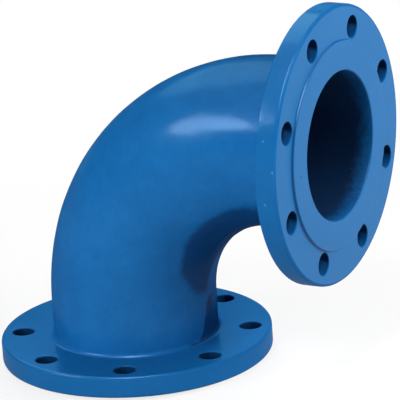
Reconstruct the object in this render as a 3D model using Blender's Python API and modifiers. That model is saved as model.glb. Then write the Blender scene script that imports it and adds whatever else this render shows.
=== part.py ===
# Flanged elbow: one iron casting that turns a pipe through a right angle, with a flange at each end.
# Run it with blender --background --python part.py, or from Blender's text editor.
# Metres, +Z up. The lower flange faces down and stands at z = 0, and the upper flange faces +X.
# The origin is in the middle of the floor that the casting covers, and y = 0 is its plane of symmetry.

import math

import bmesh
import bpy
from mathutils import Matrix

# Waterway: the bore, its wall and the bend of its centreline
BORE_DIAMETER = 0.152
WALL_THICKNESS = 0.0105
BEND_RADIUS = 0.185
BEND_ANGLE = math.radians(90)

# Straight neck between the back of a flange and the start of the bend, and the fillet at its root
NECK_LENGTH = 0.039
NECK_FILLET = 0.008

# Flange plate, without its raised face
FLANGE_THICKNESS = 0.023
RIM_ROUNDING = 0.002
RIM_MARGIN = 0.011          # metal outside the bolt holes
NUT_ROOM = 0.014            # flat back face between the fillet and the bolt holes

# Bolt holes, set so that the plane of symmetry passes between two of them
BOLT_COUNT = 8
BOLT_HOLE_DIAMETER = 0.023

# Raised sealing face
RAISED_FACE_HEIGHT = 0.003
RAISED_FACE_MARGIN = 0.002  # step down before the bolt holes
FACE_CHAMFER = 0.001        # at the outer edge of the raised face
MOUTH_CHAMFER = 0.0015      # at the mouth of the bore

# Fineness of the round surfaces
TURN_STEPS = 64
HALF_BEND_STEPS = 8
HOLE_STEPS = 20
FILLET_STEPS = 4
ROUNDING_STEPS = 2
MERGE_DISTANCE = 0.00001
CUTTER_OVERRUN = 0.005
SMOOTH_ANGLE = math.radians(35)

# Blue fusion-bonded coat
COAT_COLOUR = (0.013, 0.127, 0.376, 1.0)
COAT_ROUGHNESS = 0.25

# Sizes that follow from the ones above
bore_radius = BORE_DIAMETER / 2
body_radius = bore_radius + WALL_THICKNESS
hole_radius = BOLT_HOLE_DIAMETER / 2
bolt_circle_radius = body_radius + NECK_FILLET + NUT_ROOM + hole_radius
flange_radius = bolt_circle_radius + hole_radius + RIM_MARGIN
raised_face_radius = bolt_circle_radius - hole_radius - RAISED_FACE_MARGIN
flange_back = RAISED_FACE_HEIGHT + FLANGE_THICKNESS
bend_start = flange_back + NECK_LENGTH

# Where the lower flange's axis stands, so that the origin is in the middle of the covered floor
upper_face_x = BEND_RADIUS * (1 - math.cos(BEND_ANGLE)) + bend_start * math.sin(BEND_ANGLE)
reach = upper_face_x + flange_radius * abs(math.cos(BEND_ANGLE))
lower_axis_x = (flange_radius - reach) / 2


def clear_scene():
    for item in list(bpy.data.objects):
        bpy.data.objects.remove(item)


def new_collection(name):
    collection = bpy.data.collections.new(name)
    bpy.context.scene.collection.children.link(collection)
    return collection


def coat_material():
    material = bpy.data.materials.new("blue_coat")
    material.use_nodes = True
    shader = material.node_tree.nodes["Principled BSDF"]
    shader.inputs["Base Color"].default_value = COAT_COLOUR
    shader.inputs["Roughness"].default_value = COAT_ROUGHNESS
    shader.inputs["Metallic"].default_value = 0.0
    material.diffuse_color = COAT_COLOUR
    return material


def arc(centre, radius, start, end, steps):
    # Points of an arc in the (radius, height) plane of a turned profile, angles in degrees.
    points = []
    for step in range(steps + 1):
        angle = math.radians(start + (end - start) * step / steps)
        points.append((centre[0] + radius * math.cos(angle), centre[1] + radius * math.sin(angle)))
    return points


def end_profile():
    # Down the outside of the neck, round the flange, across its face and back up the bore.
    fillet_centre = (body_radius + NECK_FILLET, flange_back + NECK_FILLET)
    back_edge_centre = (flange_radius - RIM_ROUNDING, flange_back - RIM_ROUNDING)
    front_edge_centre = (flange_radius - RIM_ROUNDING, RAISED_FACE_HEIGHT + RIM_ROUNDING)
    points = [(body_radius, bend_start)]
    points += arc(fillet_centre, NECK_FILLET, 180, 270, FILLET_STEPS)
    points += arc(back_edge_centre, RIM_ROUNDING, 90, 0, ROUNDING_STEPS)
    points += arc(front_edge_centre, RIM_ROUNDING, 0, -90, ROUNDING_STEPS)
    points += [(raised_face_radius, RAISED_FACE_HEIGHT)]
    points += [(raised_face_radius, FACE_CHAMFER)]
    points += [(raised_face_radius - FACE_CHAMFER, 0.0)]
    points += [(bore_radius + MOUTH_CHAMFER, 0.0)]
    points += [(bore_radius, MOUTH_CHAMFER)]
    points += [(bore_radius, bend_start)]
    return points


def turned_end(guides):
    # The flanged end as far as the bend, turned from its profile and open where the bend starts.
    points = end_profile()
    mesh = bpy.data.meshes.new("end_profile")
    mesh.from_pydata([(r, 0.0, z) for r, z in points], [(i, i + 1) for i in range(len(points) - 1)], [])
    profile = bpy.data.objects.new("end_profile", mesh)
    guides.objects.link(profile)
    screw = profile.modifiers.new("turn", "SCREW")
    screw.axis = "Z"
    screw.angle = 2 * math.pi
    screw.steps = TURN_STEPS
    screw.render_steps = TURN_STEPS
    screw.use_merge_vertices = True
    screw.merge_threshold = MERGE_DISTANCE
    evaluated = profile.evaluated_get(bpy.context.evaluated_depsgraph_get())
    turned = bpy.data.meshes.new_from_object(evaluated)
    bpy.data.objects.remove(profile)
    return turned


def half_elbow(guides):
    # The turned end, with both skins of its open neck swept round the first half of the bend.
    mesh = turned_end(guides)
    shape = bmesh.new()
    shape.from_mesh(mesh)
    bmesh.ops.remove_doubles(shape, verts=shape.verts, dist=MERGE_DISTANCE)
    open_rings = [edge for edge in shape.edges if edge.is_boundary]
    bmesh.ops.spin(shape, geom=open_rings, cent=(BEND_RADIUS, 0.0, bend_start), axis=(0.0, 1.0, 0.0),
                   angle=BEND_ANGLE / 2, steps=HALF_BEND_STEPS)
    bmesh.ops.recalc_face_normals(shape, faces=shape.faces)
    shape.to_mesh(mesh)
    shape.free()
    return mesh


def bend_mirror(guides):
    # An empty whose local X is the way the water runs halfway round the bend.
    empty = bpy.data.objects.new("bend_mirror", None)
    guides.objects.link(empty)
    empty.location = (lower_axis_x + BEND_RADIUS, 0.0, bend_start)
    empty.rotation_euler = (0.0, BEND_ANGLE / 2 - math.pi / 2, 0.0)
    empty.hide_render = True
    return empty


def mirror_across(item, empty):
    mirror = item.modifiers.new("second_half", "MIRROR")
    mirror.mirror_object = empty
    mirror.use_axis = (True, False, False)
    mirror.use_clip = True
    mirror.merge_threshold = MERGE_DISTANCE


def bolt_hole_cutter(guides, empty):
    # One ring of drills for the lower flange, repeated on the upper one by the same mirror.
    shape = bmesh.new()
    length = flange_back + 2 * CUTTER_OVERRUN
    for index in range(BOLT_COUNT):
        angle = 2 * math.pi * (index + 0.5) / BOLT_COUNT
        place = Matrix.Rotation(angle, 4, "Z") @ Matrix.Translation((bolt_circle_radius, 0.0, flange_back / 2))
        bmesh.ops.create_cone(shape, cap_ends=True, segments=HOLE_STEPS, radius1=hole_radius,
                              radius2=hole_radius, depth=length, matrix=place)
    mesh = bpy.data.meshes.new("bolt_hole_cutter")
    shape.to_mesh(mesh)
    shape.free()
    cutter = bpy.data.objects.new("bolt_hole_cutter", mesh)
    guides.objects.link(cutter)
    cutter.location = (lower_axis_x, 0.0, 0.0)
    cutter.hide_render = True
    cutter.display_type = "WIRE"
    mirror_across(cutter, empty)
    return cutter


def elbow_casting(collection, guides):
    empty = bend_mirror(guides)
    casting = bpy.data.objects.new("elbow_casting", half_elbow(guides))
    collection.objects.link(casting)
    casting.location = (lower_axis_x, 0.0, 0.0)
    mirror_across(casting, empty)
    holes = casting.modifiers.new("bolt_holes", "BOOLEAN")
    holes.operation = "DIFFERENCE"
    holes.solver = "EXACT"
    holes.object = bolt_hole_cutter(guides, empty)
    casting.data.shade_smooth()
    casting.data.set_sharp_from_angle(angle=SMOOTH_ANGLE)
    casting.data.materials.append(coat_material())
    return casting


def main():
    clear_scene()
    parts = new_collection("flanged_elbow")
    guides = new_collection("cutters")
    elbow_casting(parts, guides)


main()
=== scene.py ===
import math

import bmesh
import bpy
from mathutils import Matrix, Vector


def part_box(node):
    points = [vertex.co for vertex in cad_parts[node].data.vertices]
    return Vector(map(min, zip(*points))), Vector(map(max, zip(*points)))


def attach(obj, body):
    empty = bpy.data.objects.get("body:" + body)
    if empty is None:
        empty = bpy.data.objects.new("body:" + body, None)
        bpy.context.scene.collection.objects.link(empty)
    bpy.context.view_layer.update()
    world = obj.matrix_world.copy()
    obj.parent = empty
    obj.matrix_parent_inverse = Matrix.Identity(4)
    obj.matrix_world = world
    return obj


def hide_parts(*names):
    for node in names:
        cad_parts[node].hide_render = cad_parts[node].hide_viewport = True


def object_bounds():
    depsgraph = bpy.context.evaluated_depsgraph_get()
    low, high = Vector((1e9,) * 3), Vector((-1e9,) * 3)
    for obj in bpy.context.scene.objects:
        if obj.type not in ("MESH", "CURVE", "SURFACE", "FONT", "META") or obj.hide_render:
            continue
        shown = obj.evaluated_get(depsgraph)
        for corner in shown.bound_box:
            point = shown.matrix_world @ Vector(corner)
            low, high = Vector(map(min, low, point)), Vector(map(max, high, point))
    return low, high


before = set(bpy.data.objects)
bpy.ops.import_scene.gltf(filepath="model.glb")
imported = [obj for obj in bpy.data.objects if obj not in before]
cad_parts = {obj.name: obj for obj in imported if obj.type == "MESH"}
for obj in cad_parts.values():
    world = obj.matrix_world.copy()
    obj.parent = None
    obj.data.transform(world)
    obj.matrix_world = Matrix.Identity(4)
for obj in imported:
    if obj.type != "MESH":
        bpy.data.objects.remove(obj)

cadLow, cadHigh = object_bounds()
nodeLow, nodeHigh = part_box("elbow_casting")

# The main places come from the frame: the lower flange stands on z = 0, the upper one faces +X
flangeRadius = (nodeHigh.y - nodeLow.y) / 2
lowerAxisX = nodeLow.x + flangeRadius
upperFaceX = nodeHigh.x
upperAxisZ = nodeHigh.z - flangeRadius


# Small helpers

def selectNone():
    if bpy.context.object and bpy.context.object.mode != "OBJECT":
        bpy.ops.object.mode_set(mode="OBJECT")
    bpy.ops.object.select_all(action="DESELECT")


def takeUp(*pieces):
    # selects these pieces only, the last one active
    selectNone()
    for piece in pieces:
        piece.select_set(True)
    bpy.context.view_layer.objects.active = pieces[-1]


def pickEdges(piece, wanted):
    # in edit mode, selects the edges whose two ends both pass the test
    mesh = bmesh.from_edit_mesh(piece.data)
    bpy.ops.mesh.select_all(action="DESELECT")
    for edge in mesh.edges:
        if all(wanted(corner.co) for corner in edge.verts):
            edge.select_set(True)
    mesh.select_flush_mode()
    bmesh.update_edit_mesh(piece.data)


def applyModifier(piece, kind, **settings):
    takeUp(piece)
    modifier = piece.modifiers.new(kind.lower(), kind)
    for name, value in settings.items():
        setattr(modifier, name, value)
    bpy.ops.object.modifier_apply(modifier=modifier.name)


def growRings(centre, start, outline):
    # extrudes the selected ring through the (radius, height) points of a turned outline
    radius, height = start
    for newRadius, newHeight in outline:
        lift = Vector((0, 0, newHeight - height))
        bpy.ops.mesh.extrude_edges_move(TRANSFORM_OT_translate={"value": lift})
        if newRadius != radius:
            share = newRadius / radius
            middle = (centre.x, centre.y, newHeight)
            bpy.ops.transform.resize(value=(share, share, 1), center_override=middle)
        radius, height = newRadius, newHeight


def evenSteps(start, end, count):
    return [start + (end - start) * (step + 1) / count for step in range(count)]


# The casting: one flanged end, swept round half of the bend and mirrored to make the other

casting = {
    "boreRadius": 0.076,
    "bodyRadius": 0.0865,
    "raisedFaceRadius": 0.1065,
    "raisedFaceHeight": 0.003,
    "flangeBack": 0.026,
    "bendStart": 0.065,
    "sides": 192,
    "neckSteps": 8,
    "boreSteps": 18,
    "halfBendSteps": 46,
    "rimRounding": 0.003,
    "rimSegments": 4,
    "neckFillet": 0.008,
    "filletSegments": 8,
    "raisedEdgeRounding": 0.0013,
    "raisedFootFillet": 0.0016,
    "mouthRounding": 0.0016,
    "cornerSegments": 3,
    "boltCircleRadius": 0.12,
    "boltHoleRadius": 0.0115,
    "boltHoles": 8,
    "boltHoleSides": 48,
    "boltHoleFlare": 0.0013,
    "flareTurns": (0, 22.5, 45, 67.5),
    "flareMouth": (1.25, 0.08),
    "drillOverrun": 0.006,
    "mergeWithin": 0.00001,
    "ringWithin": 0.0002,
}
lowerCentre = Vector((lowerAxisX, 0, 0))
bendRadius = upperAxisZ - casting["bendStart"]
bendCentre = Vector((lowerAxisX + bendRadius, 0, casting["bendStart"]))


def ringTest(radius, height):
    # true for the points of one ring of the lower flange
    within = casting["ringWithin"]

    def onRing(point):
        across = math.hypot(point.x - lowerCentre.x, point.y)
        return abs(across - radius) < within and abs(point.z - height) < within
    return onRing


def bevelRing(piece, radius, height, size, segments):
    pickEdges(piece, ringTest(radius, height))
    bpy.ops.mesh.bevel(offset=size, offset_type="OFFSET", segments=segments, profile=0.5,
                       affect="EDGES", clamp_overlap=True, loop_slide=True)


def flangedEnd():
    # bore, face, rim, back and neck, as rings drawn out of one circle
    c = casting
    selectNone()
    bpy.ops.mesh.primitive_circle_add(vertices=c["sides"], radius=c["boreRadius"], fill_type="NOTHING",
                                      location=(lowerCentre.x, 0, c["bendStart"]))
    piece = bpy.context.object
    bpy.ops.object.transform_apply(location=True, rotation=True, scale=True)
    bpy.ops.object.mode_set(mode="EDIT")
    bpy.ops.mesh.select_mode(type="EDGE")
    bpy.ops.mesh.select_all(action="SELECT")
    outline = [(c["boreRadius"], height) for height in evenSteps(c["bendStart"], 0, c["boreSteps"])]
    outline += [(c["raisedFaceRadius"], 0)]
    outline += [(c["raisedFaceRadius"], c["raisedFaceHeight"])]
    outline += [(flangeRadius, c["raisedFaceHeight"])]
    outline += [(flangeRadius, c["flangeBack"])]
    outline += [(c["bodyRadius"], c["flangeBack"])]
    outline += [(c["bodyRadius"], height)
                for height in evenSteps(c["flangeBack"], c["bendStart"], c["neckSteps"])]
    growRings(lowerCentre, (c["boreRadius"], c["bendStart"]), outline)
    corner, rim, fillet = c["cornerSegments"], c["rimSegments"], c["filletSegments"]
    bevelRing(piece, c["boreRadius"], 0, c["mouthRounding"], corner)
    bevelRing(piece, c["raisedFaceRadius"], 0, c["raisedEdgeRounding"], corner)
    bevelRing(piece, c["raisedFaceRadius"], c["raisedFaceHeight"], c["raisedFootFillet"], corner)
    bevelRing(piece, flangeRadius, c["raisedFaceHeight"], c["rimRounding"], rim)
    bevelRing(piece, flangeRadius, c["flangeBack"], c["rimRounding"], rim)
    bevelRing(piece, c["bodyRadius"], c["flangeBack"], c["neckFillet"], fillet)
    return piece


def closeSeams():
    # in edit mode, merges the doubles and turns every face outwards
    bpy.ops.mesh.select_all(action="SELECT")
    bpy.ops.mesh.remove_doubles(threshold=casting["mergeWithin"])
    bpy.ops.mesh.normals_make_consistent(inside=False)
    bpy.ops.object.mode_set(mode="OBJECT")


def sweepHalfBend(piece):
    # both skins of the open neck, spun round to the middle of the bend
    pickEdges(piece, lambda point: abs(point.z - casting["bendStart"]) < casting["ringWithin"])
    bpy.ops.mesh.spin(steps=casting["halfBendSteps"], angle=math.radians(-45), center=bendCentre,
                      axis=(0, 1, 0))
    closeSeams()


def boltHoleDrills():
    # one drill with flared ends, so that each hole keeps the soft shoulder of thick paint
    c = casting
    hole, flare = c["boltHoleRadius"], c["boltHoleFlare"]
    middle = (c["raisedFaceHeight"] + c["flangeBack"]) / 2
    first = Vector((lowerCentre.x + c["boltCircleRadius"], 0, 0))
    upper = [(hole + flare * (1 - math.cos(math.radians(turn))),
              c["flangeBack"] - flare * (1 - math.sin(math.radians(turn)))) for turn in c["flareTurns"]]
    outwards, upwards = c["flareMouth"]
    upper += [(hole + flare * outwards, c["flangeBack"] + flare * upwards)]
    upper += [(hole + flare * outwards, c["flangeBack"] + c["drillOverrun"])]
    lower = [(radius, 2 * middle - height) for radius, height in upper]
    selectNone()
    bpy.ops.mesh.primitive_circle_add(vertices=c["boltHoleSides"], radius=hole, fill_type="NOTHING",
                                      location=(first.x, 0, middle))
    drill = bpy.context.object
    bpy.ops.object.transform_apply(location=True, rotation=True, scale=True)
    bpy.ops.object.mode_set(mode="EDIT")
    bpy.ops.mesh.select_mode(type="EDGE")
    for outline in (upper, lower):
        pickEdges(drill, lambda point: abs(point.z - middle) < c["ringWithin"])
        growRings(first, (hole, middle), outline)
        bpy.ops.mesh.fill()
    bpy.ops.mesh.select_all(action="SELECT")
    bpy.ops.mesh.normals_make_consistent(inside=False)
    bpy.ops.object.mode_set(mode="OBJECT")
    drills = []
    for index in range(c["boltHoles"]):
        copy = drill.copy()
        copy.data = drill.data.copy()
        bpy.context.collection.objects.link(copy)
        turn = Matrix.Rotation(math.tau * (index + 0.5) / c["boltHoles"], 4, "Z")
        copy.data.transform(Matrix.Translation(lowerCentre) @ turn @ Matrix.Translation(-lowerCentre))
        drills.append(copy)
    bpy.data.objects.remove(drill)
    takeUp(*drills)
    bpy.ops.object.join()
    return bpy.context.object


def mirrorBend(piece):
    selectNone()
    bpy.ops.object.empty_add(location=bendCentre, rotation=(0, math.radians(-45), 0))
    plane = bpy.context.object
    applyModifier(piece, "MIRROR", mirror_object=plane, use_axis=(True, False, False), use_clip=True,
                  merge_threshold=casting["mergeWithin"])
    bpy.data.objects.remove(plane)


def closeUp(piece):
    takeUp(piece)
    bpy.ops.object.mode_set(mode="EDIT")
    closeSeams()


print("casting: flanged end")
elbow = flangedEnd()
elbow.name = "coated_casting"
elbow.data.name = "coated_casting"
sweepHalfBend(elbow)
print("casting: bolt holes")
drills = boltHoleDrills()
applyModifier(elbow, "BOOLEAN", operation="DIFFERENCE", solver="EXACT", object=drills)
bpy.data.objects.remove(drills)
mirrorBend(elbow)
closeUp(elbow)


# Cast unevenness: slow waves outside, a rougher skin in the bore

unevenness = {
    "outsideDepth": 0.0007,
    "outsideSize": 0.045,
    "outsideDetail": 1,
    "outsideMargin": 0.0002,
    "boreDepth": 0.0011,
    "boreSize": 0.014,
    "boreDetail": 3,
    "boreMargin": 0.0001,
    "fadeFrom": 0.034,
    "fadeOver": 0.03,
}


def placeOnPipe(point):
    # distance from the centreline, and distance along it from the nearer flange's face
    if point.z < bendCentre.z:
        return math.hypot(point.x - lowerCentre.x, point.y), point.z
    if point.x > bendCentre.x:
        return math.hypot(point.z - upperAxisZ, point.y), upperFaceX - point.x
    outwards = math.hypot(point.x - bendCentre.x, point.z - bendCentre.z) - bendRadius
    angle = math.atan2(point.z - bendCentre.z, bendCentre.x - point.x)
    turned = bendRadius * min(angle, math.pi / 2 - angle)
    return math.hypot(outwards, point.y), bendCentre.z + turned


def markSkins(piece):
    # two vertex groups, which fade out before the flanges
    wall = (casting["boreRadius"] + casting["bodyRadius"]) / 2
    outside = piece.vertex_groups.new(name="outsideSkin")
    inside = piece.vertex_groups.new(name="boreSkin")
    u = unevenness
    for vertex in piece.data.vertices:
        across, along = placeOnPipe(vertex.co)
        if across > casting["bodyRadius"] + u["outsideMargin"]:
            continue
        if across > wall:
            weight = min(1, max(0, (along - u["fadeFrom"]) / u["fadeOver"]))
            outside.add([vertex.index], weight, "REPLACE")
        elif across < casting["boreRadius"] + u["boreMargin"]:
            weight = min(1, max(0, along / u["fadeOver"]))
            inside.add([vertex.index], weight, "REPLACE")


def waves(piece, group, size, depth, detail):
    texture = bpy.data.textures.new(group, "CLOUDS")
    texture.noise_scale = size
    texture.noise_depth = detail
    applyModifier(piece, "DISPLACE", texture=texture, texture_coords="LOCAL", direction="NORMAL",
                  strength=depth, mid_level=0.5, vertex_group=group)


print("casting: unevenness of the cast skins")
markSkins(elbow)
for skin in ("outside", "bore"):
    size, depth, detail = (unevenness[skin + what] for what in ("Size", "Depth", "Detail"))
    waves(elbow, skin + "Skin", size, depth, detail)


# Finish: one blue coat, smooth outside and rough in the bore, which is darkened with painted shade past
# its mouth

coat = {
    "colour": (0.010, 0.134, 0.388, 1),
    "deepColour": (0.007, 0.114, 0.343, 1),
    "flangeColour": (0.008, 0.122, 0.352, 1),
    "deepFlangeColour": (0.006, 0.112, 0.330, 1),
    # painted shade for the inner side of the bend and the neck's root
    "paintedShadeColour": (0.004, 0.019, 0.083, 1),
    "paintedShadeShare": 0.70,                  # how dark the painted shade gets
    "shadeFrom": (1.25, 1.37),           # how far inwards the skin faces where the painted shade starts
    "shadeReach": 5.7,                   # how much sooner it starts towards the upper flange
    "shadeSide": (0.006, -0.006),
    "shadeRagged": 0.02,
    "rootFrom": (0.018, 0.028),         # the painted shade at the neck's root, from here in X
    "rootTo": (0.048, 0.042),           # to here
    "rootHeight": (0.028, 0.024),
    "rootSide": (-0.020, 0.006),        # across this width it climbs up the neck
    "rootClimb": 0.046,
    "rootRagged": 0.2,
    "rootFarSide": (0.002, 0.024),      # beyond this it fades out upwards
    "rootFarHeight": (0.030, 0.066),
    # the turned faces' colours are lighter and whiter than the body's, partly a painted sheen; the step
    # colour is painted shade
    "faceColourWithSheen": (0.018, 0.147, 0.378, 1),
    "deepFaceColourWithSheen": (0.016, 0.139, 0.360, 1),
    "paintedStepShade": (0.006, 0.070, 0.220, 1),
    "stepFrom": (0.0002, 0.0008),
    "stepTo": (0.0006, 0.00005),
    "stepRoughness": 0.28,
    "stepSpecularLevel": 0.35,
    # painted shade: the bore darkens to this colour past its mouth
    "paintedBoreShade": (0.0075, 0.031, 0.092, 1),
    "boreShadeFade": (0.001, 0.022),
    "boreMottle": 0.009,
    # painted shade in the bolt holes: deeper in, and on walls that face down
    "paintedHoleShade": (0.004, 0.020, 0.062, 1),
    "holeShadeFade": (0.004, 0.013),
    "holeOverhead": (0.35, -0.10),      # walls that face down past this get painted shade
    "holeMottle": 0.002,
    "holeSpecularLevel": 0.03,
    "roughness": 0.18,
    "roughnessSwing": (-0.04, 0.05),
    "nibScale": 70,
    "nibSize": 0.09,
    "nibShare": 0.25,                   # of the cells that hold a nib
    "nibHeight": 0.0005,
    "faceRoughness": 0.42,
    "boreRoughness": 0.5,
    "holeRoughness": 0.45,
    "specularTint": (0.40, 0.68, 1.0, 1),
    "flangeSpecularLevel": 0.2,
    "flangeEdgeFade": 2.7,
    "bodySpecularLevel": 0.25,
    "bodyEdgeFade": 4.0,
    "faceSpecularLevel": 0.12,
}


# Marks: a pit in the raised face, shown as a spot of painted shade, and painted highlights on the upper
# rim
marks = {
    # the pit is drawn as a dark spot of painted shade, not as a hollow
    "pits": [(0.19625, -0.0916, 0.2461)],
    "pitRadius": 0.0017,
    # painted highlights: small light glints where paint bumps on the upper rim catch the light
    "paintedGlints": [(0.1795, -0.1355, 0.2941), (0.1905, -0.1417, 0.2654), (0.1806, -0.1413, 0.2317)],
    "glintRadius": 0.0012,
    "glintColour": (0.06, 0.23, 0.50, 1),
    "raggedBy": 0.0012,
    "coreShare": 0.5,                   # of the radius that has the full colour
}

# Scale, detail and roughness of each noise
patterns = {
    "drift": (12, 8, 0.88),
    "faceDrift": (14, 3, 0.5),
    "gloss": (28, 3, 0.5),
    "shadeEdge": (60, 3, 0.5),
    "markEdge": (600, 2, 0.5),
    "borePatches": (130, 4, 0.6),
    "holePatches": (150, 3, 0.5),
    "orangePeel": (320, 2, 0.5),
    "ripples": (55, 2, 0.5),
    "faceGrain": (240, 2, 0.5),
    "boreGrain": (260, 3, 0.5),
}

# Distance and strength of the bumps that some of them make
bumps = {
    "orangePeel": (0.0002, 0.25),
    "ripples": (0.0012, 0.25),
    "faceGrain": (0.0002, 0.2),
    "boreGrain": (0.0008, 0.4),
}
noiseSpan = (0.3, 0.7)          # a noise seldom leaves this part of its range
driftSpan = (0.42, 0.58)
faceDriftSpan = (0.35, 0.65)


def addNode(tree, kind, **settings):
    node = tree.nodes.new("ShaderNode" + kind)
    for name, value in settings.items():
        setattr(node, name, value)
    return node


def noiseOn(tree, place, pattern):
    scale, detail, roughness = patterns[pattern]
    noise = addNode(tree, "TexNoise")
    noise.inputs["Scale"].default_value = scale
    noise.inputs["Detail"].default_value = detail
    noise.inputs["Roughness"].default_value = roughness
    tree.links.new(place.outputs["Object"], noise.inputs["Vector"])
    return noise.outputs["Fac"]


def rangeOf(tree, value, fromLow, fromHigh, toLow, toHigh, ease="LINEAR"):
    ranged = addNode(tree, "MapRange", interpolation_type=ease)
    ranged.inputs["From Min"].default_value = fromLow
    ranged.inputs["From Max"].default_value = fromHigh
    ranged.inputs["To Min"].default_value = toLow
    ranged.inputs["To Max"].default_value = toHigh
    tree.links.new(value, ranged.inputs["Value"])
    return ranged.outputs["Result"]


def smoothShare(tree, value, low, high):
    return rangeOf(tree, value, low, high, 0, 1, "SMOOTHSTEP")


def noiseBetween(tree, place, pattern, low, high):
    return rangeOf(tree, noiseOn(tree, place, pattern), *noiseSpan, low, high)


def mathOf(tree, operation, first, second):
    # either side may be a number or a socket
    node = addNode(tree, "Math", operation=operation)
    for slot, value in enumerate((first, second)):
        if isinstance(value, (int, float)):
            node.inputs[slot].default_value = value
        else:
            tree.links.new(value, node.inputs[slot])
    return node.outputs["Value"]


def bumpOn(tree, height, distance, strength, below=None):
    bump = addNode(tree, "Bump")
    bump.inputs["Distance"].default_value = distance
    bump.inputs["Strength"].default_value = strength
    tree.links.new(height, bump.inputs["Height"])
    if below:
        tree.links.new(below, bump.inputs["Normal"])
    return bump.outputs["Normal"]


def grainOn(tree, place, pattern, below=None):
    return bumpOn(tree, noiseOn(tree, place, pattern), *bumps[pattern], below)


def coatMaterial(name, roughness, specularLevel):
    material = bpy.data.materials.new(name)
    material.use_nodes = True
    tree = material.node_tree
    shader = tree.nodes["Principled BSDF"]
    shader.inputs["Roughness"].default_value = roughness
    shader.inputs["Specular Tint"].default_value = coat["specularTint"]
    shader.inputs["Specular IOR Level"].default_value = specularLevel
    return tree, shader, addNode(tree, "TexCoord")


def choose(tree, share, first, second):
    mix = addNode(tree, "Mix", data_type="RGBA")
    mix.inputs["A"].default_value = first
    mix.inputs["B"].default_value = second
    tree.links.new(share, mix.inputs["Factor"])
    return mix.outputs["Result"]


def twoTone(tree, place, pattern, span, first, second):
    share = rangeOf(tree, noiseOn(tree, place, pattern), *span, 0, 1)
    return choose(tree, share, first, second)


def splitOf(tree, vector):
    parts = addNode(tree, "SeparateXYZ")
    tree.links.new(vector, parts.inputs["Vector"])
    return parts.outputs


def paintedShadeInside(tree, shader, place, colour):
    # painted shade: the inner side of the bend, and the root of the neck below it, are darkened where
    # shade falls
    spot = splitOf(tree, place.outputs["Object"])
    turn = splitOf(tree, place.outputs["Normal"])
    stray = noiseBetween(tree, place, "shadeEdge", -coat["shadeRagged"], coat["shadeRagged"])
    inwards = mathOf(tree, "SUBTRACT", turn["X"], turn["Z"])
    reached = mathOf(tree, "ADD", inwards, mathOf(tree, "MULTIPLY", spot["X"], coat["shadeReach"]))
    inner = smoothShare(tree, mathOf(tree, "ADD", reached, stray), *coat["shadeFrom"])
    nearSide = smoothShare(tree, spot["Y"], *coat["shadeSide"])
    crotch = mathOf(tree, "MULTIPLY", inner, nearSide)
    climb = mathOf(tree, "MULTIPLY", smoothShare(tree, spot["Y"], *coat["rootSide"]), coat["rootClimb"])
    waver = mathOf(tree, "MULTIPLY", stray, coat["rootRagged"])
    height = mathOf(tree, "SUBTRACT", spot["Z"], mathOf(tree, "ADD", climb, waver))
    low = smoothShare(tree, height, *coat["rootHeight"])
    inFront = smoothShare(tree, spot["X"], *coat["rootFrom"])
    onNeck = smoothShare(tree, spot["X"], *coat["rootTo"])
    onRoot = mathOf(tree, "MULTIPLY", low, mathOf(tree, "MULTIPLY", inFront, onNeck))
    farSide = smoothShare(tree, spot["Y"], *coat["rootFarSide"])
    unshaded = mathOf(tree, "MULTIPLY", farSide, smoothShare(tree, spot["Z"], *coat["rootFarHeight"]))
    root = mathOf(tree, "MULTIPLY", onRoot, mathOf(tree, "SUBTRACT", 1, unshaded))
    # painted shade: darkens the inner bend and the neck's root towards the shade colour
    share = mathOf(tree, "MULTIPLY", mathOf(tree, "MAXIMUM", crotch, root), coat["paintedShadeShare"])
    shaded = choose(tree, share, coat["colour"], coat["paintedShadeColour"])
    tree.links.new(colour, shaded.node.inputs["A"])
    tree.links.new(shaded, shader.inputs["Base Color"])


def fadeEdgeGloss(tree, shader, level, fade):
    # the gloss gives way where the skin turns away, so that round sides keep their colour
    facing = addNode(tree, "LayerWeight")
    facing.inputs["Blend"].default_value = 0.5
    towards = mathOf(tree, "SUBTRACT", 1, facing.outputs["Facing"])
    faded = mathOf(tree, "MULTIPLY", mathOf(tree, "POWER", towards, fade), level)
    tree.links.new(faded, shader.inputs["Specular IOR Level"])


def nibsOn(tree, place):
    # a few grains under the paint: small domes in some cells of a coarse pattern
    cells = addNode(tree, "TexVoronoi")
    cells.inputs["Scale"].default_value = coat["nibScale"]
    tree.links.new(place.outputs["Object"], cells.inputs["Vector"])
    dome = rangeOf(tree, cells.outputs["Distance"], 0, coat["nibSize"], 1, 0, "SMOOTHSTEP")
    parts = addNode(tree, "SeparateColor")
    tree.links.new(cells.outputs["Color"], parts.inputs["Color"])
    chosen = mathOf(tree, "GREATER_THAN", parts.outputs["Red"], 1 - coat["nibShare"])
    return mathOf(tree, "MULTIPLY", dome, chosen)


def glossyCoat(name, deep, plain):
    # thick paint that has flowed out over the casting
    tree, shader, place = coatMaterial(name, coat["roughness"], coat["flangeSpecularLevel"])
    colour = twoTone(tree, place, "drift", driftSpan, coat[deep], coat[plain])
    low, high = (coat["roughness"] + change for change in coat["roughnessSwing"])
    tree.links.new(noiseBetween(tree, place, "gloss", low, high), shader.inputs["Roughness"])
    peel = grainOn(tree, place, "orangePeel")
    rippled = grainOn(tree, place, "ripples", peel)
    nibs = bumpOn(tree, nibsOn(tree, place), coat["nibHeight"], 1, rippled)
    tree.links.new(nibs, shader.inputs["Normal"])
    return tree, shader, place, colour


def bodyCoat():
    tree, shader, place, colour = glossyCoat("bodyCoat", "deepColour", "colour")
    fadeEdgeGloss(tree, shader, coat["bodySpecularLevel"], coat["bodyEdgeFade"])
    paintedShadeInside(tree, shader, place, colour)


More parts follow.
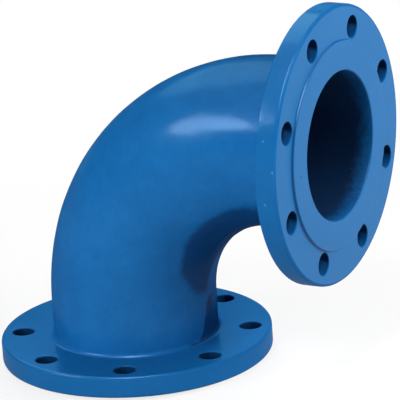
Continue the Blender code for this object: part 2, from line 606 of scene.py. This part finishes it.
def flangeCoat():
    tree, shader, place, colour = glossyCoat("flangeCoat", "deepFlangeColour", "flangeColour")
    fadeEdgeGloss(tree, shader, coat["flangeSpecularLevel"], coat["flangeEdgeFade"])
    # painted highlights on the upper rim
    markWith(tree, shader, place, colour, marks["paintedGlints"], marks["glintRadius"], marks["glintColour"])


def depthFromFace(tree, place):
    # distance behind the nearer of the two faces
    spot = splitOf(tree, place.outputs["Object"])
    return mathOf(tree, "MINIMUM", mathOf(tree, "SUBTRACT", upperFaceX, spot["X"]), spot["Z"])


def markWith(tree, shader, place, colour, spots, radius, mark):
    # small round marks, each at its own place on the casting; they carry the pit's painted shade and the
    # rim's painted highlights
    nearest = None
    for spot in spots:
        away = addNode(tree, "VectorMath", operation="DISTANCE")
        tree.links.new(place.outputs["Object"], away.inputs[0])
        away.inputs[1].default_value = spot
        found = away.outputs["Value"]
        nearest = mathOf(tree, "MINIMUM", nearest, found) if nearest else found
    stray = noiseBetween(tree, place, "markEdge", -marks["raggedBy"], marks["raggedBy"])
    nearest = mathOf(tree, "ADD", nearest, stray)
    inside = smoothShare(tree, nearest, radius, radius * marks["coreShare"])
    marked = choose(tree, inside, coat["colour"], mark)
    tree.links.new(colour, marked.node.inputs["A"])
    tree.links.new(marked, shader.inputs["Base Color"])


def faceCoat():
    # turned faces: a satin coat of their own, lighter and whiter than the body's with a painted sheen;
    # glossy in the step of the raised face, which is darkened with painted shade
    tree, shader, place = coatMaterial("faceCoat", coat["faceRoughness"], coat["faceSpecularLevel"])
    plain = twoTone(tree, place, "faceDrift", faceDriftSpan, coat["deepFaceColourWithSheen"], coat["faceColourWithSheen"])
    depth = depthFromFace(tree, place)
    below = rangeOf(tree, depth, *coat["stepFrom"], 0, 1)
    near, far = (casting["raisedFaceHeight"] - short for short in coat["stepTo"])
    above = rangeOf(tree, depth, near, far, 1, 0)
    step = mathOf(tree, "MINIMUM", below, above)
    # painted shade in the step of the raised face
    colour = choose(tree, step, coat["faceColourWithSheen"], coat["paintedStepShade"])
    tree.links.new(plain, colour.node.inputs["A"])
    # the pit: a spot of painted shade
    markWith(tree, shader, place, colour, marks["pits"], marks["pitRadius"], coat["paintedBoreShade"])
    roughness = rangeOf(tree, step, 0, 1, coat["faceRoughness"], coat["stepRoughness"])
    tree.links.new(roughness, shader.inputs["Roughness"])
    level = rangeOf(tree, step, 0, 1, coat["faceSpecularLevel"], coat["stepSpecularLevel"])
    tree.links.new(level, shader.inputs["Specular IOR Level"])
    tree.links.new(grainOn(tree, place, "faceGrain"), shader.inputs["Normal"])


def boreCoat():
    # the coat's blue shows a little way past the mouth; deeper in, the bore is darkened with painted
    # shade
    tree, shader, place = coatMaterial("boreCoat", coat["boreRoughness"], coat["faceSpecularLevel"])
    mottle = noiseBetween(tree, place, "borePatches", -coat["boreMottle"] / 2, coat["boreMottle"] / 2)
    depth = mathOf(tree, "ADD", depthFromFace(tree, place), mottle)
    # painted shade deeper in the bore
    share = smoothShare(tree, depth, *coat["boreShadeFade"])
    colour = choose(tree, share, coat["deepColour"], coat["paintedBoreShade"])
    tree.links.new(colour, shader.inputs["Base Color"])
    tree.links.new(grainOn(tree, place, "boreGrain"), shader.inputs["Normal"])


def holeCoat():
    # the drilled walls keep the coat's blue near both ends and where they face up; elsewhere they are
    # darkened with painted shade
    c = casting
    tree, shader, place = coatMaterial("holeCoat", coat["holeRoughness"], coat["holeSpecularLevel"])
    mottle = noiseBetween(tree, place, "holePatches", -coat["holeMottle"] / 2, coat["holeMottle"] / 2)
    depth = depthFromFace(tree, place)
    fromFront = mathOf(tree, "SUBTRACT", depth, c["raisedFaceHeight"])
    fromBack = mathOf(tree, "SUBTRACT", c["flangeBack"], depth)
    inside = mathOf(tree, "ADD", mathOf(tree, "MINIMUM", fromFront, fromBack), mottle)
    overhead = smoothShare(tree, splitOf(tree, place.outputs["Normal"])["Z"], *coat["holeOverhead"])
    # painted shade on the hole walls
    dark = mathOf(tree, "MAXIMUM", smoothShare(tree, inside, *coat["holeShadeFade"]), overhead)
    colour = choose(tree, dark, coat["deepColour"], coat["paintedHoleShade"])
    tree.links.new(colour, shader.inputs["Base Color"])


# The coats in the order of the material slots, and how far some reach past their own surfaces
coats = {
    "bodyCoat": bodyCoat,
    "boreCoat": boreCoat,
    "holeCoat": holeCoat,
    "faceCoat": faceCoat,
    "flangeCoat": flangeCoat,
}
reach = {
    "pastBore": 0.0012,
    "mouthShare": 1.5,
    "pastHole": 0.0003,
    "pastFace": 0.0001,
    "filletShare": 0.125,
}
smoothBelow = 40                # degrees between faces
normalWeight = 50


def placeOnFlange(point):
    # height above the nearer face, and distances from the nearest bolt hole's axis and the flange's own
    c = casting
    if point.z < upperFaceX - point.x:
        height, first, second = point.z, point.x - lowerCentre.x, point.y
    else:
        height, first, second = upperFaceX - point.x, point.z - upperAxisZ, point.y
    step = math.tau / c["boltHoles"]
    nearest = (math.floor(math.atan2(second, first) / step) + 0.5) * step
    fromHole = math.hypot(first - c["boltCircleRadius"] * math.cos(nearest),
                          second - c["boltCircleRadius"] * math.sin(nearest))
    return height, fromHole, math.hypot(first, second)


def coatAt(point):
    c = casting
    across, along = placeOnPipe(point)
    height, fromHole, fromAxis = placeOnFlange(point)
    if across < c["boreRadius"] + reach["pastBore"] and along > c["mouthRounding"] * reach["mouthShare"]:
        return "boreCoat"
    if fromHole < c["boltHoleRadius"] + reach["pastHole"] and height < c["flangeBack"]:
        return "holeCoat"
    if height < c["raisedFaceHeight"] + reach["pastFace"] and fromAxis < flangeRadius - c["rimRounding"]:
        return "faceCoat"
    if height < c["flangeBack"] + c["neckFillet"] * reach["filletShare"]:
        return "flangeCoat"
    return "bodyCoat"


def paint(piece):
    piece.data.materials.clear()
    for name, mixCoat in coats.items():
        mixCoat()
        piece.data.materials.append(bpy.data.materials[name])
    slots = list(coats)
    for face in piece.data.polygons:
        face.material_index = slots.index(coatAt(face.center))


print("finish: blue coat")
paint(elbow)
takeUp(elbow)
bpy.ops.object.shade_smooth_by_angle(angle=math.radians(smoothBelow))
applyModifier(elbow, "WEIGHTED_NORMAL", keep_sharp=True, weight=normalWeight)
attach(elbow, "root")
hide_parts("elbow_casting")


# Stage: a pale floor that the camera sees as white, with the casting's soft shadow

stage = {
    "floorSize": 80,
    "floorDrop": 0.0002,
    "floorRoughness": 0.9,
    "floorColour": (0.9, 0.9, 0.9, 1),
    "floorBounce": (0.42, 0.42, 0.42, 1),
    "shadowShare": 0.22,
    "shadowReach": (0.30, 0.75),
    "skyColour": (0.02, 0.02, 0.02, 1),
    "horizonReflected": (0.09, 0.60, 1.28, 1),
    "zenithReflected": (2.4, 2.6, 2.6, 1),
    "zenithFrom": (0.50, 0.80),
}


def anyRay(tree, *kinds):
    # one for the rays of these kinds, zero for the others
    rays = addNode(tree, "LightPath")
    found = rays.outputs[kinds[0]]
    for kind in kinds[1:]:
        found = mathOf(tree, "MAXIMUM", found, rays.outputs[kind])
    return found


def floorMaterial():
    # white where it is seen or reflected, darker where it only throws light back on the casting
    material = bpy.data.materials.new("paleFloor")
    material.use_nodes = True
    tree = material.node_tree
    shader = tree.nodes["Principled BSDF"]
    shader.inputs["Roughness"].default_value = stage["floorRoughness"]
    shader.inputs["Specular IOR Level"].default_value = 0
    output = tree.nodes["Material Output"]
    glow = addNode(tree, "Emission")
    seen = anyRay(tree, "Is Camera Ray", "Is Glossy Ray", "Is Transmission Ray")
    colour = choose(tree, seen, stage["floorBounce"], stage["floorColour"])
    tree.links.new(colour, shader.inputs["Base Color"])
    place = addNode(tree, "TexCoord")
    away = addNode(tree, "VectorMath", operation="LENGTH")
    tree.links.new(place.outputs["Object"], away.inputs[0])
    near, far = stage["shadowReach"]
    plain = rangeOf(tree, away.outputs["Value"], near, far, 1 - stage["shadowShare"], 1)
    mix = addNode(tree, "MixShader")
    tree.links.new(mathOf(tree, "MULTIPLY", seen, plain), mix.inputs["Fac"])
    tree.links.new(shader.outputs["BSDF"], mix.inputs[1])
    tree.links.new(glow.outputs["Emission"], mix.inputs[2])
    tree.links.new(mix.outputs["Shader"], output.inputs["Surface"])
    return material


def paleFloor():
    selectNone()
    bpy.ops.mesh.primitive_plane_add(size=stage["floorSize"], location=(0, 0, -stage["floorDrop"]))
    floor = bpy.context.object
    floor.name = "floor"
    bpy.ops.object.transform_apply(location=True, rotation=True, scale=True)
    floor.data.materials.append(floorMaterial())


def sky():
    # dim as a light, brighter where the gloss of the coat mirrors it, most of all overhead
    world = bpy.data.worlds.new("studio")
    bpy.context.scene.world = world
    world.use_nodes = True
    tree = world.node_tree
    place = addNode(tree, "TexCoord")
    low, high = stage["zenithFrom"]
    overhead = rangeOf(tree, splitOf(tree, place.outputs["Generated"])["Z"], low, high, 0, 1)
    reflected = choose(tree, overhead, stage["horizonReflected"], stage["zenithReflected"])
    mirrored = anyRay(tree, "Is Glossy Ray", "Is Transmission Ray")
    colour = choose(tree, mirrored, stage["skyColour"], stage["horizonReflected"])
    tree.links.new(reflected, colour.node.inputs["B"])
    tree.links.new(colour, tree.nodes["Background"].inputs["Color"])


lamps = {
    "key": {"azimuth": -75, "elevation": 49, "size": (0.25, 0.25), "power": 9.2},
    "overheadShine": {"azimuth": -80, "elevation": 66, "size": (0.9, 0.9), "power": 60, "light": False},
    "front": {"azimuth": -88, "elevation": 5, "size": (0.4, 0.6), "power": 12, "gloss": False},
    "left": {"azimuth": -127, "elevation": 22, "size": (0.5, 0.5), "power": 12, "gloss": False},
    "faceLight": {"azimuth": 12, "elevation": 30, "size": (0.8, 0.45), "power": 25.4, "gloss": False},
    "backRight": {"azimuth": 38, "elevation": 8, "size": (0.4, 0.4), "power": 4, "gloss": False},
    "lowRight": {"azimuth": -22, "elevation": 18, "size": (0.3, 0.3), "power": 3.5, "gloss": False},
    "backLeft": {"azimuth": 125, "elevation": 35, "size": (1.3, 0.9), "power": 16, "gloss": False},
    "topGlow": {"azimuth": 138, "elevation": 46, "size": (1.4, 1.6), "power": 48, "light": False,
                "shape": "ELLIPSE", "colour": (0.3, 0.85, 1.1)},
    "backGlow": {"azimuth": 118, "elevation": 21.5, "size": (1.2, 0.5), "power": 8, "light": False,
                 "colour": (0.14, 0.55, 1.0)},
    "highlight": {"azimuth": -130.5, "elevation": 32, "size": (0.94, 0.56), "power": 32, "light": False,
                  "shape": "ELLIPSE"},
}
lampDistance = 1.8


def softLamp(name, azimuth, elevation, size, power, light=True, gloss=True, shape="RECTANGLE",
             colour=(1, 1, 1)):
    a, e = math.radians(azimuth), math.radians(elevation)
    middle = (cadLow + cadHigh) / 2
    outwards = Vector((math.cos(a) * math.cos(e), math.sin(a) * math.cos(e), math.sin(e)))
    selectNone()
    bpy.ops.object.light_add(type="AREA", location=middle + outwards * lampDistance)
    lamp = bpy.context.object
    lamp.name = name
    lamp.data.shape = shape
    lamp.data.size, lamp.data.size_y = size
    lamp.data.energy = power
    lamp.data.color = colour
    lamp.visible_diffuse = light
    lamp.visible_glossy = gloss
    lamp.rotation_mode = "QUATERNION"
    lamp.rotation_quaternion = outwards.to_track_quat("Z", "Y")


print("stage: floor, sky and lamps")
paleFloor()
sky()
for name, settings in lamps.items():
    softLamp(name, **settings)


# Camera at the photo's view

view = {
    "around": 28.628,
    "above": 18.254,
    "lean": -3.756,
    "distance": 3.7204,
    "target": (0.012533, 0.035752, 0.163324),
    "focalPixels": 3576.96,
    "imagePixels": 400,
    "sensor": 36,
    "seesTo": 200,
}


def photoCamera():
    a, e, lean = (math.radians(view[name]) for name in ("around", "above", "lean"))
    back = Vector((math.sin(a) * math.cos(e), -math.cos(a) * math.cos(e), math.sin(e)))
    level = Vector((math.cos(a), math.sin(a), 0))
    upright = back.cross(level)
    right = level * math.cos(lean) + upright * math.sin(lean)
    up = upright * math.cos(lean) - level * math.sin(lean)
    turn = Matrix((right, up, back)).transposed()
    place = Vector(view["target"]) + back * view["distance"]
    bpy.ops.object.camera_add(location=place, rotation=turn.to_euler())
    camera = bpy.context.object
    camera.name = "photoCamera"
    camera.data.sensor_width = view["sensor"]
    camera.data.lens = view["focalPixels"] * view["sensor"] / view["imagePixels"]
    camera.data.clip_end = view["seesTo"]
    bpy.context.scene.camera = camera


print("camera")
selectNone()
photoCamera()
bpy.context.scene.view_settings.view_transform = "Standard"

print("done")
